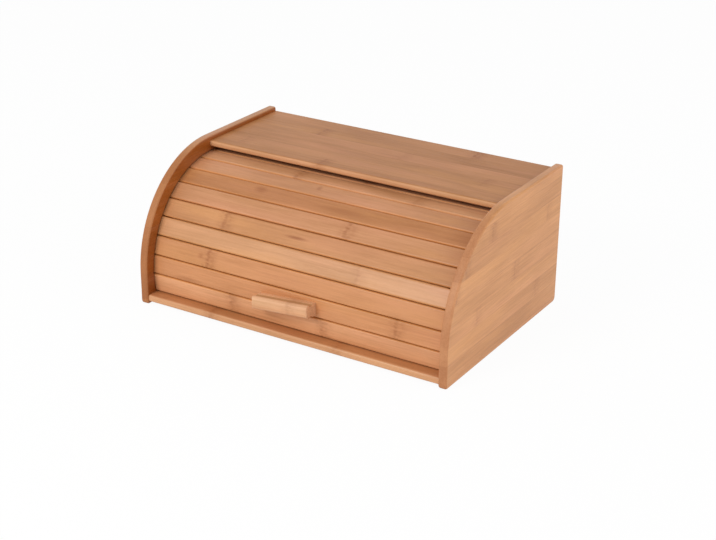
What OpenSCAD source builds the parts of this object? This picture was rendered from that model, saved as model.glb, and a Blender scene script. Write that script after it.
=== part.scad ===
// Bamboo bread box closed by a tambour: slats on a canvas that roll back under the top board.
// Millimetres, +Z up, front towards -Y. The origin is on the table, under the middle of the box.

/* [Side panels] */
// Width over both side panels
width = 400; // [260:10:600]
// Depth of the side panels
depth = 264; // [260:1:340]
// Height of the side panels
height = 168; // [165:1:210]
// Thickness of the side panels
panel_t = 10; // [9:0.5:18]
// Radius of the panels' curved front-top corner
front_r = 129.5; // [126:0.5:134]
// Radius of the panels' rear bottom corner
rear_foot_r = 6; // [3:0.5:10]
// Radius of the panels' rear top corner
rear_top_r = 3; // [3:0.5:8]
// Radius of the panels' front bottom corner
front_foot_r = 4; // [2.5:0.5:6]
// Rounding of the panels' arrises
panel_round = 2.4; // [0.8:0.1:2.9]

/* [Boards] */
// Thickness of the top board
top_t = 7; // [6:0.5:7.5]
// How far the panels stand up past the top board
top_lip = 5.5; // [3:0.5:6]
// Top board's front edge, measured back from the panels' front
top_setback = 126.5; // [122:0.5:134]
// Thickness of the bottom board
bottom_t = 8.5; // [7:0.5:9.5]
// Space under the bottom board
bottom_lift = 3; // [1:0.5:4]
// Bottom board's front edge, measured back from the panels' front
bottom_setback = 2; // [1:0.5:6]
// Rounding of the boards' front arrises
nose_r = 2.8; // [1:0.1:2.9]
// Top and bottom boards' rear edge, measured in from the panels' rear edge
rear_setback = 1; // [0:0.5:3]
// Thickness of the back board
back_t = 5; // [3:0.5:6]
// Back board's outer face, measured in from the panels' rear edge
back_inset = 2; // [1:0.5:3]
// Depth of the housings in the panels that hold the back board
housing_depth = 4; // [2:0.5:5]
// Glue line round the back board
glue_line = 0.1; // [0.05:0.05:0.3]

/* [Dowels] */
// Diameter of the dowels
dowel_d = 4; // [3:0.5:5]
// Length of a dowel
dowel_len = 20; // [16:1:30]
// How far a dowel reaches into a panel
dowel_in_panel = 6; // [4:0.5:7]
// Chamfer at the ends of a dowel
dowel_chamfer = 0.6; // [0.2:0.1:1]
// Dowels at each end of a board
dowel_count = 3; // [2:1:5]
// Distance of the outer dowels from a board's front and rear edges
dowel_margin = 40; // [36:1:46]
// Space left at each end of a dowel in its hole
dowel_end_space = 0.5; // [0.3:0.1:1]

/* [Tambour] */
// Number of slats
slat_count = 11; // [10:1:13]
// Width of a slat
slat_w = 21.6; // [18:0.2:24]
// Thickness of a slat
slat_t = 5; // [4:0.25:6]
// Rounding of a slat's two outer arrises
slat_round = 2; // [0.4:0.1:3]
// Gap between two slats at the canvas
slat_gap = 0.4; // [0.2:0.05:0.6]
// Radius of the tambour's curve, out to the slats' faces
tambour_r = 114; // [112:0.5:116]
// The curve's foremost point, measured back from the panels' front
slat_setback = 14.5; // [13:0.5:18]
// The curve's highest point, measured down from the top board
slat_drop = 6.3; // [3:0.1:9]
// Gap between the closed tambour and the bottom board
sill_gap = 1; // [0.6:0.1:2]
// Thickness of the canvas
canvas_t = 0.6; // [0.4:0.1:1]
// Space between the canvas and each panel
canvas_margin = 12; // [6:1:25]

/* [Tracks] */
// Depth of the tracks routed in the panels
track_depth = 5; // [3:0.5:6]
// Play between a slat's end and the floor of its track
track_end_play = 1; // [0.5:0.1:2]
// Play between the slats and the walls of their tracks
track_play = 0.35; // [0.3:0.05:0.5]
// How far a track runs on past the closed and the open tambour, in degrees
track_overrun = 0.6; // [0.2:0.1:1]

/* [Handle] */
// Length of the handle
handle_len = 72; // [50:1:120]
// Height of the handle
handle_h = 14.5; // [12:0.5:18]
// How far the handle stands out from its slat
handle_d = 18.5; // [17:0.5:24]
// Rounding of the handle's front arrises
handle_round = 4.5; // [2:0.25:5]
// Rounding of the handle's front corners, seen from above
handle_end_r = 2; // [1:0.25:4]
// Radius of the finger grooves along the handle's top and underside
finger_r = 4.5; // [4:0.5:6]
// Depth of the finger grooves
finger_depth = 1.7; // [1:0.1:2.5]
// Middle of the finger grooves, measured back from the handle's front
finger_setback = 8.75; // [8.5:0.25:10]
// The handle's middle, measured right of the box's middle
handle_shift = -5.5; // [-30:0.5:30]
// The handle's middle, measured up from the middle of its slat
handle_rise = -3.5; // [-4:0.5:2]
// Tilt of the handle on its slat, right end up, in degrees
handle_tilt = 4.2; // [0:0.1:5]
// The slat that carries the handle, counted from the bottom
handle_slat = 2; // [2:1:3]
// Gap left between the handle and the top board when the tambour is open
handle_stop_gap = 2; // [1:0.5:6]

/* [Handle screws] */
// Diameter of a screw's shank
screw_d = 3; // [2.5:0.5:3.5]
// Diameter of a screw's head
screw_head_d = 6.5; // [5.5:0.5:8]
// Height of a screw's head
screw_head_h = 2; // [1.6:0.1:2.5]
// How far a screw reaches into the handle
screw_bite = 12; // [8:1:14]
// Diameter of a screw's blunt tip
screw_tip_d = 1; // [0.6:0.1:1.5]
// Height of the straight rim of a screw's head
screw_rim_h = 0.8; // [0.5:0.1:1.2]
// Length of the cross slot in a screw's head
screw_slot_len = 3.6; // [2.8:0.1:4]
// Width of the cross slot
screw_slot_w = 0.8; // [0.6:0.1:1]
// Depth of the cross slot
screw_slot_depth = 1; // [0.6:0.1:1.2]
// Distance between the two screws
screw_spacing = 40; // [20:1:44]
// Play round a screw or a dowel in its hole
hole_play = 0.05; // [0.02:0.01:0.1]

/* [Hidden] */
slat_names = [for (i = [1:slat_count]) str("slat_", i < 10 ? "0" : "", i)];

$fn = 96;
// How far a cutter runs past the face that it cuts
past = 1;

// Places of the boards and of the panels' faces
front_y = -depth / 2;
rear_y = depth / 2;
inner_x = width / 2 - panel_t;
top_z = height - top_lip;
top_under_z = top_z - top_t;
floor_z = bottom_lift + bottom_t;
back_front_y = rear_y - back_inset - back_t;
board_len = 2 * inner_x;

// Centre of the panels' front-top curve is this high
crown_z = height - front_r;

// The tracks are one circle about a centre of their own
track_y = front_y + slat_setback + tambour_r;
track_z = top_under_z - slat_drop - tambour_r;
canvas_r = tambour_r - slat_t;
slat_half = slat_w / 2;
slat_len = board_len + 2 * (track_depth - track_end_play);
slat_corner_r = norm([slat_half - slat_round, tambour_r - slat_round]) + slat_round;
track_in_r = canvas_r - track_play;
track_out_r = slat_corner_r + track_play;
track_mid_r = (track_in_r + track_out_r) / 2;
track_half_w = (track_out_r - track_in_r) / 2;

// Angles about the tracks' centre, from 0 at the front, up and over, to 180 at the back
slat_pitch = 2 * atan((slat_half + slat_gap / 2) / canvas_r);
slat_half_angle = atan(slat_half / canvas_r);
slat_inner_corner_r = norm([slat_half, canvas_r]);
closed_angle = asin((floor_z + sill_gap - track_z) / slat_inner_corner_r);
curtain_angle = (slat_count - 1) * slat_pitch + 2 * slat_half_angle;
function slat_angle(i) = closed_angle + slat_half_angle + (i - 1) * slat_pitch;

// The tambour stops where the handle meets the top board, or its last slat the bottom board
handle_reach = handle_rise + handle_h / 2 * cos(handle_tilt) + handle_len / 2 * sin(handle_tilt);
nose_y = front_y + top_setback - track_y;
nose_z = top_z - top_t / 2 - track_z;
nose_angle = atan2(nose_z, -nose_y);
handle_stop = nose_angle - asin((handle_reach + handle_stop_gap) / norm([nose_y, nose_z]));
rear_stop = 180 - closed_angle;
travel = min(
    handle_stop - slat_angle(handle_slat),
    rear_stop - closed_angle - curtain_angle
);
track_start = closed_angle - track_overrun;
track_end = closed_angle + curtain_angle + travel + track_overrun;

bamboo = [0.83, 0.60, 0.43];
bamboo_dark = [0.76, 0.55, 0.40];
bamboo_light = [0.90, 0.70, 0.53];
beech = [0.80, 0.66, 0.48];
cotton = [0.85, 0.82, 0.74];
steel = [0.72, 0.73, 0.75];

// ---------- helpers ----------

// Turns a shape drawn in depth, height and thickness so that its thickness runs along X
module side_on() {
    rotate([90, 0, 90])
        children();
}

// Places a shape on the front edge of the panels, drawn in depth, height and X
module from_front(x) {
    translate([x, front_y, 0])
        side_on()
            children();
}

// Left and right alike
module both_sides() {
    children();
    mirror([1, 0, 0])
        children();
}

// Centres of the dowels between a board's front and rear edges
function dowel_places(from, to) = [
    for (i = [0:dowel_count - 1])
        from + dowel_margin + i * (to - from - 2 * dowel_margin) / (dowel_count - 1)
];

// The half of a circle that faces outwards, so that it can be spun about a close axis
module outer_half(r) {
    intersection() {
        circle(r);
        translate([0, -r])
            square([r, 2 * r]);
    }
}

// ---------- side panels ----------

// Section through a panel, out to its rounded edge
module panel_edge(reach) {
    square([reach - panel_round, panel_t]);
    translate([0, panel_round])
        square([reach, panel_t - 2 * panel_round]);
    for (y = [panel_round, panel_t - panel_round])
        translate([reach - panel_round, y])
            outer_half(panel_round);
}

// Rounded corner of a panel: a quarter turn of the panel's edge
module panel_corner(depth_at, height_at, r, facing) {
    translate([depth_at, height_at, 0])
        rotate([0, 0, facing])
            rotate_extrude(angle = 90)
                panel_edge(r);
}

// Straight side of a panel: its edge, drawn out along the side that faces the given way
module panel_side(depth_at, height_at, len, reach, facing) {
    translate([depth_at, height_at, 0])
        rotate([0, 0, facing])
            rotate([90, 0, 0])
                linear_extrude(len)
                    panel_edge(reach);
}

// The panel's outline is four corners and the four sides between them
module panel_blank() {
    panel_corner(depth - rear_top_r, height - rear_top_r, rear_top_r, 0);
    panel_corner(front_r, crown_z, front_r, 90);
    panel_corner(front_foot_r, front_foot_r, front_foot_r, 180);
    panel_corner(depth - rear_foot_r, rear_foot_r, rear_foot_r, 270);
    rear_len = height - rear_top_r - rear_foot_r;
    panel_side(front_r, height - rear_top_r, rear_len, depth - front_r, 0);
    top_len = depth - rear_top_r - front_r;
    panel_side(front_r, rear_foot_r, top_len, height - rear_foot_r, 90);
    panel_side(front_r, front_foot_r, crown_z - front_foot_r, front_r, 180);
    bottom_len = depth - rear_foot_r - front_foot_r;
    panel_side(depth - rear_foot_r, crown_z, bottom_len, crown_z, 270);
}

// Track routed in a panel's inner face, with the round ends that the cutter leaves
module track_cut() {
    translate([track_y - front_y, track_z, panel_t - track_depth]) {
        rotate([0, 0, 180 - track_end])
            rotate_extrude(angle = track_end - track_start)
                translate([track_in_r, 0])
                    square([track_out_r - track_in_r, track_depth + past]);
        for (a = [180 - track_start, 180 - track_end])
            rotate([0, 0, a])
                translate([track_mid_r, 0, 0])
                    cylinder(r = track_half_w, h = track_depth + past);
    }
}

// Housing for the end of the back board
module housing_cut() {
    translate([
        depth - back_inset - back_t - glue_line,
        floor_z,
        panel_t - housing_depth
    ])
        cube([back_t + 2 * glue_line, top_under_z - floor_z, housing_depth + past]);
}

// Left panel, its outer face on the left
module side_panel() {
    difference() {
        from_front(-width / 2)
            panel_blank();
        from_front(-width / 2) {
            track_cut();
            housing_cut();
        }
        top_dowels(true);
        bottom_dowels(true);
    }
}

module side_panel_left() {
    color(bamboo)
        side_panel();
}

module side_panel_right() {
    color(bamboo)
        mirror([1, 0, 0])
            side_panel();
}

// ---------- boards ----------

// Board between the panels, its front edge rounded on both arrises
module board(from_y, to_y, z, t) {
    translate([-inner_x, from_y, z])
        side_on()
            linear_extrude(board_len) {
                translate([nose_r, 0])
                    square([to_y - from_y - nose_r, t]);
                translate([0, nose_r])
                    square([2 * nose_r, t - 2 * nose_r]);
                for (v = [nose_r, t - nose_r])
                    translate([nose_r, v])
                        circle(nose_r);
            }
}

module top_board() {
    color(bamboo_dark)
        difference() {
            board(front_y + top_setback, rear_y - rear_setback, top_under_z, top_t);
            both_sides()
                top_dowels(true);
        }
}

module bottom_board() {
    color(bamboo)
        difference() {
            board(front_y + bottom_setback, rear_y - rear_setback, bottom_lift, bottom_t);
            both_sides()
                bottom_dowels(true);
        }
}

module back_board() {
    back_len = board_len + 2 * (housing_depth - glue_line);
    color(bamboo)
        translate([-back_len / 2, back_front_y, floor_z])
            cube([back_len, back_t, top_under_z - floor_z]);
}

// ---------- dowels ----------

// A dowel across the joint of the left panel and a board, or the hole that takes it
module dowel(is_hole) {
    from_x = -inner_x - dowel_in_panel;
    if (is_hole) {
        translate([from_x - dowel_end_space, 0, 0])
            rotate([0, 90, 0])
                cylinder(d = dowel_d + 2 * hole_play, h = dowel_len + 2 * dowel_end_space);
    } else {
        translate([from_x, 0, 0])
            rotate([0, 90, 0]) {
                translate([0, 0, dowel_chamfer])
                    cylinder(d = dowel_d, h = dowel_len - 2 * dowel_chamfer);
                cylinder(d1 = dowel_d - 2 * dowel_chamfer, d2 = dowel_d, h = dowel_chamfer);
                translate([0, 0, dowel_len - dowel_chamfer])
                    cylinder(d1 = dowel_d, d2 = dowel_d - 2 * dowel_chamfer, h = dowel_chamfer);
            }
    }
}

// Left-hand dowels of the top board, or their holes
module top_dowels(is_hole) {
    for (y = dowel_places(front_y + top_setback, rear_y - rear_setback))
        translate([0, y, top_z - top_t / 2])
            dowel(is_hole);
}

// Left-hand dowels of the bottom board, or their holes
module bottom_dowels(is_hole) {
    for (y = dowel_places(front_y + bottom_setback, rear_y - rear_setback))
        translate([0, y, bottom_lift + bottom_t / 2])
            dowel(is_hole);
}

module dowels_top_board() {
    color(beech)
        both_sides()
            top_dowels(false);
}

module dowels_bottom_board() {
    color(beech)
        both_sides()
            bottom_dowels(false);
}

// ---------- tambour ----------

// Places a shape on slat i: X along the slat, Y up across it, Z out from the tracks' centre
module at_slat(i) {
    translate([0, track_y, track_z])
        rotate([90 - slat_angle(i), 0, 0])
            children();
}

// Section through a slat, its canvas side at 0 and its outer arrises rounded
module slat_section() {
    translate([-slat_half, 0])
        square([slat_w, slat_t - slat_round]);
    translate([slat_round - slat_half, 0])
        square([slat_w - 2 * slat_round, slat_t]);
    for (s = [-1, 1])
        translate([s * (slat_half - slat_round), slat_t - slat_round])
            circle(slat_round);
}

module slat(i) {
    color(bamboo)
        difference() {
            at_slat(i)
                translate([-slat_len / 2, 0, canvas_r])
                    side_on()
                        linear_extrude(slat_len)
                            slat_section();
            if (i == handle_slat)
                screw_holes(hole_play);
        }
}

// Canvas glued to the backs of the slats, bent at each gap between two of them
module canvas() {
    corner_angles = [
        for (i = [1:slat_count], s = [-1, 1])
            slat_angle(i) + s * slat_half_angle
    ];
    outer = [for (a = corner_angles) slat_inner_corner_r * [-cos(a), sin(a)]];
    inner_share = (canvas_r - canvas_t) / canvas_r;
    inner = [for (k = [len(outer) - 1:-1:0]) outer[k] * inner_share];
    canvas_len = board_len - 2 * canvas_margin;
    color(cotton)
        difference() {
            translate([-canvas_len / 2, track_y, track_z])
                side_on()
                    linear_extrude(canvas_len)
                        polygon(concat(outer, inner));
            screw_holes(hole_play);
        }
}

// ---------- handle ----------

// Places a shape on the handle: X along it, Y across it, Z out from its slat's outer face
module at_handle() {
    at_slat(handle_slat)
        translate([handle_shift, handle_rise, tambour_r])
            rotate([0, 0, handle_tilt])
                children();
}

// Section through the handle, its back at 0, with a finger groove in its top and underside
module handle_section() {
    half = handle_h / 2;
    difference() {
        union() {
            translate([-half, 0])
                square([handle_h, handle_d - handle_round]);
            translate([handle_round - half, 0])
                square([handle_h - 2 * handle_round, handle_d]);
            for (s = [-1, 1])
                translate([s * (half - handle_round), handle_d - handle_round])
                    circle(handle_round);
        }
        for (s = [-1, 1])
            translate([s * (half + finger_r - finger_depth), handle_d - finger_setback])
                circle(finger_r);
    }
}

// Outline of the handle seen from above, its back at 0 and its front corners rounded
module handle_plan() {
    half = handle_len / 2;
    translate([-half, 0])
        square([handle_len, handle_d - handle_end_r]);
    translate([handle_end_r - half, 0])
        square([handle_len - 2 * handle_end_r, handle_d]);
    for (s = [-1, 1])
        translate([s * (half - handle_end_r), handle_d - handle_end_r])
            circle(handle_end_r);
}

module handle() {
    color(bamboo_light)
        difference() {
            at_handle()
                intersection() {
                    translate([-handle_len / 2, 0, 0])
                        side_on()
                            linear_extrude(handle_len)
                                handle_section();
                    translate([0, handle_h / 2, 0])
                        rotate([90, 0, 0])
                            linear_extrude(handle_h)
                                handle_plan();
                }
            screw_holes(hole_play);
        }
}

// ---------- handle screws ----------

// Places a shape on each screw's axis, at the handle's back
module at_screws() {
    for (s = [-1, 1])
        at_handle()
            translate([s * screw_spacing / 2, 0, 0])
                children();
}

// Holes through canvas and slat and on into the handle, a little deeper than the screws
module screw_holes(play) {
    hole_depth = screw_bite + past;
    at_screws()
        translate([0, 0, -slat_t - canvas_t - past])
            cylinder(d = screw_d + 2 * play, h = slat_t + canvas_t + past + hole_depth);
}

// Pan-head screw, its head against the canvas
module screw() {
    tip_len = screw_d;
    dome_h = screw_head_h - screw_rim_h;
    dome_r = (pow(screw_head_d / 2, 2) + pow(dome_h, 2)) / (2 * dome_h);
    translate([0, 0, -slat_t - canvas_t]) {
        difference() {
            intersection() {
                translate([0, 0, -screw_head_h])
                    cylinder(d = screw_head_d, h = screw_head_h);
                translate([0, 0, dome_r - screw_head_h])
                    sphere(dome_r);
            }
            for (a = [0, 90])
                rotate([0, 0, a])
                    translate([-screw_slot_len / 2, -screw_slot_w / 2, -screw_head_h - past])
                        cube([screw_slot_len, screw_slot_w, screw_slot_depth + past]);
        }
        shank_len = slat_t + canvas_t + screw_bite - tip_len;
        cylinder(d = screw_d, h = shank_len);
        translate([0, 0, shank_len])
            cylinder(d1 = screw_d, d2 = screw_tip_d, h = tip_len);
    }
}

module handle_screws() {
    color(steel)
        at_screws()
            screw();
}

side_panel_left();
side_panel_right();
top_board();
bottom_board();
back_board();
dowels_top_board();
dowels_bottom_board();
for (i = [1:slat_count])
    slat(i);
canvas();
handle();
handle_screws();

// Where the tambour turns, how far, and how far its tracks run
echo(joint_y = track_y, joint_z = track_z, travel_deg = travel);
echo(track_from = track_start, track_to = track_end);
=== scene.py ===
"""Finishes, light and camera for a roll-front bread box in laminated bamboo.

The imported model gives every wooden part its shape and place. This script dresses each part in
bamboo, beech or zinc, weaves the cotton that holds the slats together, sets the box on a pale
floor and looks at it from the photograph's viewpoint.
"""

from __future__ import annotations

import logging
import math
from dataclasses import dataclass, field
from enum import Enum

import bmesh
import bpy
from mathutils import Matrix, Vector


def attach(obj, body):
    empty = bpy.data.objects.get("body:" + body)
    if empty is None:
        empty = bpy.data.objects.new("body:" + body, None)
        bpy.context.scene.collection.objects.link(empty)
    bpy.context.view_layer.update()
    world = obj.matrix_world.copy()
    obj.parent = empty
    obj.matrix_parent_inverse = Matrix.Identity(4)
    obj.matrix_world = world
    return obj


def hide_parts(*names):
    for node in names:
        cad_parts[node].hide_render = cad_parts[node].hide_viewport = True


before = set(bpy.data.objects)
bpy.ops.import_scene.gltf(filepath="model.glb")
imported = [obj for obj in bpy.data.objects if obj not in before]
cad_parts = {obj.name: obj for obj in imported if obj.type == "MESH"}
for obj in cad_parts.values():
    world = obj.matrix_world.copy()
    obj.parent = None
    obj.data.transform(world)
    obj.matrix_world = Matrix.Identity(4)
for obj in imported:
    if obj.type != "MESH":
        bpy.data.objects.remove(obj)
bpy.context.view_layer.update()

log = logging.getLogger("bread_box")

IMAGE_WIDTH = 716
MM_PER_M = 1000
TRACK_CENTRE = (0.0, -0.0035, 0.0352)
PALE, DEEP = (1.05, 1.06, 1.08), (0.9, 0.87, 0.81)
SOCKET_KINDS = {
    "Place": "NodeSocketVector",
    **dict.fromkeys(("Pale", "Deep", "Mark Tone", "End Tone", "Color"), "NodeSocketColor"),
}

Tone = tuple[int, int, int]
Color = tuple[float, float, float, float]
Place = tuple[float, float, float]
Ramp = tuple[float, float]
Socket = bpy.types.NodeSocket
Number = float | Socket
Shade = Color | Socket
Layer = tuple[Socket, tuple[Color, ...]]


def srgb(tone: Tone) -> Color:
    """Turns a tone read on screen (0 to 255) into Blender's linear colour.

    Args:
        tone: Red, green and blue.

    Returns:
        The linear colour, opaque.
    """
    def channel(value: int) -> float:
        """Gives one channel's linear value."""
        share = min(value, 255) / 255
        return share / 12.92 if share <= 0.04045 else ((share + 0.055) / 1.055) ** 2.4
    return (*(channel(value) for value in tone), 1.0)


def pale_and_deep(tone: Tone) -> tuple[Color, ...]:
    """Gives the palest and the deepest colour of the fibres of one tone of bamboo."""
    return tuple(
        srgb(tuple(round(value * factor) for value, factor in zip(tone, factors)))
        for factors in (PALE, DEEP)
    )


def placed(name: str, data: bpy.types.ID) -> bpy.types.Object:
    """Makes an object and puts it in the scene.

    Args:
        name: The object's name.
        data: Its mesh, lamp or camera.

    Returns:
        The object.
    """
    thing = bpy.data.objects.new(name, data)
    bpy.context.scene.collection.objects.link(thing)
    return thing


# ---------------- shader sheets


@dataclass(frozen=True)
class Noise:
    """How fast a noise changes along and across, its octaves and the finer ones' weight."""

    along: float
    across: float
    octaves: float = 2.0
    rough: float = 0.5


class Sheet:
    """A shader node tree, with short calls that add a node and wire its inputs."""

    def __init__(self, tree: bpy.types.NodeTree) -> None:
        """Wraps a material's, world's or group's node tree."""
        self.tree = tree

    def feed(self, node: bpy.types.Node, inputs: dict) -> None:
        """Wires or sets some of a node's inputs.

        Args:
            node: The node.
            inputs: Socket name or index to a value or to the output socket that feeds it.
        """
        for key, value in inputs.items():
            if isinstance(value, Socket):
                self.tree.links.new(value, node.inputs[key])
            else:
                node.inputs[key].default_value = value

    def add(self, kind: str, inputs: dict | None = None, **settings: object) -> bpy.types.Node:
        """Adds a node.

        Args:
            kind: The node's Blender type name.
            inputs: Socket name or index to a value or to the output socket that feeds it.
            **settings: Properties of the node itself.

        Returns:
            The new node.
        """
        node = self.tree.nodes.new(kind)
        for name, value in settings.items():
            setattr(node, name, value)
        self.feed(node, inputs or {})
        return node

    def math(self, operation: str, *values: Number, clamp: bool = False) -> Socket:
        """Adds a Math node; clamp holds its result between 0 and 1."""
        inputs = dict(enumerate(values))
        return self.add("ShaderNodeMath", inputs, operation=operation, use_clamp=clamp).outputs[0]

    def times(self, first: Number, second: Number) -> Socket:
        """Multiplies two numbers."""
        return self.math("MULTIPLY", first, second)

    def minus(self, first: Number, second: Number) -> Socket:
        """Takes the second number from the first."""
        return self.math("SUBTRACT", first, second)

    def between(self, first: Number, second: Number) -> Socket:
        """Gives how far apart two numbers are."""
        return self.math("ABSOLUTE", self.minus(first, second))

    def spread(self, value: Number, share: float) -> Socket:
        """Centres a 0 to 1 value on nought and scales it."""
        return self.times(self.minus(value, 0.5), share)

    def total(self, *values: Number, clamp: bool = False) -> Socket:
        """Adds up values.

        Args:
            *values: Numbers or output sockets.
            clamp: Whether the sum is held between 0 and 1.

        Returns:
            The sum.
        """
        sum_so_far = values[0]
        for value in values[1:-1]:
            sum_so_far = self.math("ADD", sum_so_far, value)
        return self.math("ADD", sum_so_far, values[-1], clamp=clamp)

    def smooth(self, value: Number, ramp: Ramp) -> Socket:
        """Eases a value from 0 at the ramp's first number to 1 at its second."""
        inputs = {"Value": value, "From Min": ramp[0], "From Max": ramp[1]}
        return self.add("ShaderNodeMapRange", inputs, interpolation_type="SMOOTHSTEP").outputs[0]

    def fade(self, value: Number, ramp: Ramp, share: float) -> Socket:
        """Eases a value along a ramp and scales it."""
        return self.times(self.smooth(value, ramp), share)

    def mix(self, share: Number, first: Shade, second: Shade) -> Socket:
        """Mixes two colours; the share, 0 to 1, is that of the second."""
        inputs = {0: share, 6: first, 7: second}
        return self.add("ShaderNodeMix", inputs, data_type="RGBA").outputs[2]

    def split(self, place: Socket) -> tuple[Socket, ...]:
        """Splits a vector into its three numbers."""
        return tuple(self.add("ShaderNodeSeparateXYZ", {0: place}).outputs)

    def joined(self, x: Number, y: Number, z: Number = 0.0) -> Socket:
        """Joins three numbers into a vector."""
        return self.add("ShaderNodeCombineXYZ", {0: x, 1: y, 2: z}).outputs[0]

    def stretched(self, place: Socket, scale: Place) -> Socket:
        """Scales a place by one factor along each axis."""
        inputs = {0: place, 1: scale}
        return self.add("ShaderNodeVectorMath", inputs, operation="MULTIPLY").outputs[0]

    def in_millimetres(self, place: Socket) -> Socket:
        """Turns a place in metres into millimetres."""
        return self.stretched(place, (MM_PER_M, MM_PER_M, MM_PER_M))

    def noise(self, place: Socket, noise: Noise) -> Socket:
        """Adds a Noise texture.

        Args:
            place: The vector socket that it follows.
            noise: Its scales and octaves.

        Returns:
            The noise value, about 0.5 on average.
        """
        return self.add("ShaderNodeTexNoise", {
            "Vector": self.stretched(place, (noise.along, noise.across, noise.across)),
            "Scale": 1.0, "Detail": noise.octaves, "Roughness": noise.rough,
        }).outputs[0]

    def bump(self, height: Socket, strength: float, distance: float) -> Socket:
        """Turns a height from 0 to 1 into a normal; the distance is its size in metres."""
        inputs = {"Height": height, "Strength": strength, "Distance": distance}
        return self.add("ShaderNodeBump", inputs).outputs[0]


def new_group(
    name: str, inputs: tuple[str, ...], outputs: tuple[str, ...]
) -> tuple[bpy.types.NodeTree, Sheet, dict[str, Socket]]:
    """Starts a shader node group.

    Args:
        name: The group's name.
        inputs: The inputs' names.
        outputs: The outputs' names.

    Returns:
        The group, its sheet, and its inputs' sockets by name.
    """
    group = bpy.data.node_groups.new(name, "ShaderNodeTree")
    for way, labels in (("INPUT", inputs), ("OUTPUT", outputs)):
        for label in labels:
            kind = SOCKET_KINDS.get(label, "NodeSocketFloat")
            group.interface.new_socket(label, in_out=way, socket_type=kind)
    sheet = Sheet(group)
    entry = sheet.add("NodeGroupInput")
    return group, sheet, {label: entry.outputs[label] for label in inputs}


def new_material(name: str) -> tuple[bpy.types.Material, Sheet, bpy.types.Node]:
    """Starts a material.

    Args:
        name: The material's name.

    Returns:
        The material, its sheet and its shader.
    """
    material = bpy.data.materials.new(name)
    material.use_nodes = True
    return material, Sheet(material.node_tree), material.node_tree.nodes["Principled BSDF"]


# ---------------- bamboo effects


@dataclass(frozen=True)
class KnuckleEffect:
    """A cane's knuckle: a ragged line across one strip, with a soft halo; in millimetres."""

    bend_noise: Noise = Noise(0.03, 0.22)
    bend: float = 7.0
    fray_noise: Noise = Noise(0.05, 1.6, 3.0)
    fray: float = 3.2
    line: Ramp = (3.0, 0.2)
    line_depth: float = 0.42
    patch_noise: Noise = Noise(0.02, 0.3)
    patches: Ramp = (0.3, 0.62)
    halo: Ramp = (15.0, 0.5)
    halo_at: float = 2.0
    halo_depth: float = 0.5
    mottle_noise: Noise = Noise(0.16, 0.32, 3.0, 0.6)
    mottle: Ramp = (0.36, 0.64)
    least_mottle: float = 0.45
    pale_line: Ramp = (1.8, 0.2)
    pale_line_at: float = -3.8
    pale_line_lift: float = 0.12
    rim: Ramp = (0.3, -0.3)
    step: Ramp = (-3.0, 3.0)

    def build(self) -> bpy.types.NodeTree:
        """Builds the effect.

        Returns:
            The node group. Place is in metres, X along the grain and Y across it; the rest is in
            millimetres. Mask is how dark the knuckle is, Step the change of tone beyond it.
        """
        group, sheet, given = new_group(
            "bamboo_knuckle",
            ("Place", "Along", "Across", "Half Width", "Strength", "Step"),
            ("Mask", "Step"),
        )
        place = sheet.in_millimetres(given["Place"])
        along, across, _ = sheet.split(place)
        bend = sheet.spread(sheet.noise(place, self.bend_noise), self.bend)
        fray = sheet.spread(sheet.noise(place, self.fray_noise), self.fray)
        off = sheet.total(sheet.minus(along, given["Along"]), bend, fray)

        patches = sheet.smooth(sheet.noise(place, self.patch_noise), self.patches)
        line = sheet.times(sheet.smooth(sheet.math("ABSOLUTE", off), self.line), patches)
        mottle = sheet.smooth(sheet.noise(place, self.mottle_noise), self.mottle)
        mottle = sheet.total(mottle, self.least_mottle)
        halo = sheet.times(sheet.smooth(sheet.between(off, self.halo_at), self.halo), mottle)
        pale_line = sheet.smooth(sheet.between(off, self.pale_line_at), self.pale_line)
        mask = sheet.total(
            sheet.times(line, self.line_depth),
            sheet.times(halo, self.halo_depth),
            sheet.times(pale_line, -self.pale_line_lift),
        )

        aside = sheet.between(across, given["Across"])
        inside = sheet.smooth(sheet.minus(aside, given["Half Width"]), self.rim)
        mask = sheet.times(sheet.times(mask, inside), given["Strength"])
        beyond = sheet.times(sheet.smooth(off, self.step), inside)
        sheet.add("NodeGroupOutput", {"Mask": mask, "Step": sheet.times(beyond, given["Step"])})
        return group


@dataclass(frozen=True)
class FleckAndShadeEffect:
    """A soft dark lens along the fibres, also used as painted shade; in millimetres."""

    fray_noise: Noise = Noise(0.06, 1.2, 3.0)
    fray: float = 9.0
    lens: Ramp = (1.15, 0.1)

    def build(self) -> bpy.types.NodeTree:
        """Builds the effect.

        Returns:
            The node group. Place is in metres as for a knuckle; the rest is in millimetres.
        """
        group, sheet, given = new_group(
            "bamboo_fleck_and_shade",
            ("Place", "Along", "Across", "Half Length", "Half Width", "Strength"),
            ("Mask",),
        )
        place = sheet.in_millimetres(given["Place"])
        along, across, _ = sheet.split(place)
        fray = sheet.spread(sheet.noise(place, self.fray_noise), self.fray)
        off = sheet.total(sheet.minus(along, given["Along"]), fray)
        off = sheet.math("DIVIDE", off, given["Half Length"])
        aside = sheet.math("DIVIDE", sheet.minus(across, given["Across"]), given["Half Width"])
        square = sheet.total(sheet.times(off, off), sheet.times(aside, aside))
        mask = sheet.smooth(sheet.math("SQRT", square), self.lens)
        sheet.add("NodeGroupOutput", {"Mask": sheet.times(mask, given["Strength"])})
        return group


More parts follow.
